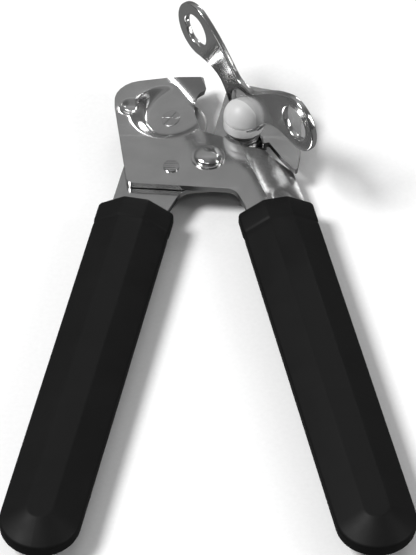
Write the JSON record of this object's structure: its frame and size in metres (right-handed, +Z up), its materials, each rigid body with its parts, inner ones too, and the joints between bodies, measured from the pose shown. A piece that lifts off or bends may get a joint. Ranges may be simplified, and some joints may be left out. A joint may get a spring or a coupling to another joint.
{
  "type": "manual can opener",
  "caption": "Hand-held can opener with crossed pressed levers, vinyl-dipped handles, a cutting wheel, a toothed feed wheel and a butterfly crank with finger holes.",
  "frame": {"origin": "middle of the footprint of the whole opener, at the height of its lowest point", "axes": "+Y from the grips to the head, +Z up out of the front plate along the handle pivot, +X to the right seen from above"},
  "size_m": [0.1034, 0.1738, 0.0372],
  "materials": {
    "plate": "plated, polished",
    "bright": "plated, bright",
    "blade": "ground",
    "gear_steel": "satin",
    "dark_steel": "dull",
    "bushing": "machined",
    "cap": "satin",
    "grip": "semi-gloss dipped vinyl"
  },
  "bodies": {
    "cutter_side": {"cutter_lever": "plate", "right_grip": "grip", "pivot_rivet": "bright", "pivot_ring": "bright", "pivot_spacer": "dark_steel", "pivot_back_washer": "bright", "stop_pin": "plate", "cutter_stud": "plate", "cutter_spacer": "dark_steel", "cutter_washer": "dark_steel", "cutter_spring_washer": "dark_steel"},
    "cutter": {"cutter_wheel": "blade"},
    "feed_side": {"feed_lever": "plate", "left_grip": "grip", "shaft_bushing": "bushing"},
    "crank_set": {"feed_shaft": "dark_steel", "shaft_spring_washer": "dark_steel", "crank_collar": "cap", "crank": "bright", "crank_cap": "cap", "feed_washer": "dark_steel", "feed_wheel": "gear_steel", "feed_nut": "gear_steel"}
  },
  "joints": [
    {"name": "handle_hinge", "type": "hinge", "parent": "cutter_side", "child": "feed_side", "pos_m": [0, 0.05, 0.0079], "axis": [0, 0, 1], "range_deg": [-2, 10.5]},
    {"name": "crank_spin", "type": "hinge", "parent": "feed_side", "child": "crank_set", "pos_m": [0.0097, 0.0614, 0.0099], "axis": [0, 0, 1], "continuous": true},
    {"name": "cutter_spin", "type": "hinge", "parent": "cutter_side", "child": "cutter", "pos_m": [-0.0102, 0.0672, 0.008], "axis": [-0.2646, -0.1497, 0.9527], "continuous": true}
  ]
}
